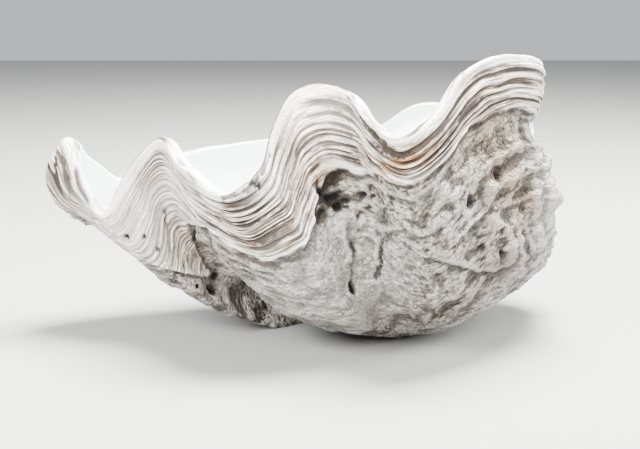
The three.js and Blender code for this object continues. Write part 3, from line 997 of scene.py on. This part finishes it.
def shellColour(n, s):
    colour = weatheredAndShaded(n, s, n.blend(s["worn"], freshColour(n, s), wornColour(n, s)))
    milky = n.ramp(s["milk"], ((0.3, "milk"), (0.7, "porcelain")))
    colour = n.blend(n.span(s["inside"], 0.32, 0.80), colour, milky)
    colour = n.paint(colour, n.times(s["tan"], s["inside"]), "scar", "MULTIPLY")
    # Painted shade: the holes, cracks, the hollow and the shadow below the layer edges turn peat brown, the
    # deepest near black.
    shade = n.sway(s["pitAndShadow"], s["grain"], 0.6)
    colour = n.paint(colour, n.times(n.span(shade, 0.08, 0.42), 0.85), "peatAndShade")
    return n.paint(colour, n.span(shade, 0.5, 0.85), "pitAndShadow")


# Fine growth lines on the fresh surface, and the grain of the worn one.
def shellBumps(n, s):
    outside = n.math("SUBTRACT", 1.0, n.span(s["inside"], 0.0, 0.6))
    lined = n.times(n.times(outside, n.line(s["lipAndHighlight"], -0.8, 1.0)), n.line(s["worn"], -0.7, 1.0))
    height = n.line(s["threads"], -0.35, s["fine"])
    first = n.add("Bump", Distance=shellLook["fineBump"], Height=height, Strength=lined)
    coarse = n.math("ADD", n.times(n.span(s["cells"], 0.05, 0.5), 0.5), s["grain"])
    coarse = n.line(s["seams"], -0.5, n.line(s["flakes"], 1.6, coarse))
    rough = n.times(outside, n.line(s["worn"], 0.75, 0.25))
    normal = first.outputs[0]
    second = n.add("Bump", Distance=shellLook["grainBump"], Height=coarse, Strength=rough, Normal=normal)
    return second.outputs[0]


def shellMaterial():
    look = shellLook
    n = NodeTree("shellSurface")
    s = shellSources(n)
    polish = n.times(s["inside"], look["insideRoughness"] - look["roughness"])
    roughness = n.math("ADD", polish, n.sway(look["roughness"], s["grain"], look["roughnessGrain"]))
    n.feed(n.shader.inputs["Base Color"], shellColour(n, s))
    n.feed(n.shader.inputs["Roughness"], roughness)
    n.feed(n.shader.inputs["Normal"], shellBumps(n, s))
    n.shader.inputs["Specular IOR Level"].default_value = look["shine"]
    print("shell material:", len(n.tree.nodes), "nodes")
    return n.material


valve = makeValve()
valve.data.materials.append(shellMaterial())
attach(valve, "root")
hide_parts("valve")


studio = {
    "floorHalf": 3.0,        # metres
    "floorColour": (0.29, 0.29, 0.28),
    "floorRoughness": 0.9,
    "skyColour": (0.9, 0.93, 0.97),
    "skyStrength": 0.72,
    "lightAim": (0, 0, 0.08),
    "lights": {              # place in metres, size in metres, power in watts
        "topLight": ((0.25, 0.20, 1.30), 0.7, 260),
        "frontLight": ((0.10, -1.2, 0.80), 0.6, 28),
        "leftLight": ((-0.95, -0.75, 0.85), 0.6, 62),
        "rightLight": ((1.15, 0.10, 0.60), 0.5, 38),
    },
}

cameraView = {
    "lens": 70.0,            # mm
    "sensor": 36.0,
    "distance": 0.825,       # metres from the target
    "elevation": 11.0,       # degrees
    "target": (0.00998, -0.00566, 0.07510),
}


def makeFloor():
    size = studio["floorHalf"]
    mesh = bpy.data.meshes.new("floor")
    corners = [(-size, -size, 0), (size, -size, 0), (size, size, 0), (-size, size, 0)]
    mesh.from_pydata(corners, [], [(0, 1, 2, 3)])
    floor = bpy.data.objects.new("floor", mesh)
    bpy.context.collection.objects.link(floor)
    material = bpy.data.materials.new("paleFloor")
    material.use_nodes = True
    shader = material.node_tree.nodes["Principled BSDF"]
    shader.inputs["Base Color"].default_value = (*studio["floorColour"], 1)
    shader.inputs["Roughness"].default_value = studio["floorRoughness"]
    floor.data.materials.append(material)


def makeLight(name, place, size, power):
    data = bpy.data.lights.new(name, "AREA")
    data.energy, data.size = power, size
    light = bpy.data.objects.new(name, data)
    light.location = place
    x, y, z = np.array(studio["lightAim"]) - np.array(place)
    light.rotation_euler = (math.atan2(math.hypot(x, y), -z), 0, math.atan2(y, x) - math.pi / 2)
    bpy.context.collection.objects.link(light)


def makeCamera():
    view = cameraView
    data = bpy.data.cameras.new("camera")
    data.lens, data.sensor_width = view["lens"], view["sensor"]
    camera = bpy.data.objects.new("camera", data)
    elevation = math.radians(view["elevation"])
    away = view["distance"] * np.array([0, -math.cos(elevation), math.sin(elevation)])
    camera.location = np.array(view["target"]) + away
    camera.rotation_euler = (math.pi / 2 - elevation, 0, 0)
    bpy.context.collection.objects.link(camera)
    bpy.context.scene.camera = camera


def makeWorld():
    world = bpy.data.worlds.new("studio")
    world.use_nodes = True
    background = world.node_tree.nodes["Background"]
    background.inputs["Color"].default_value = (*studio["skyColour"], 1)
    background.inputs["Strength"].default_value = studio["skyStrength"]
    bpy.context.scene.world = world


makeFloor()
for name, (place, size, power) in studio["lights"].items():
    makeLight(name, place, size, power)
makeCamera()
makeWorld()
print("studio: floor, camera and", len(studio["lights"]), "lights")
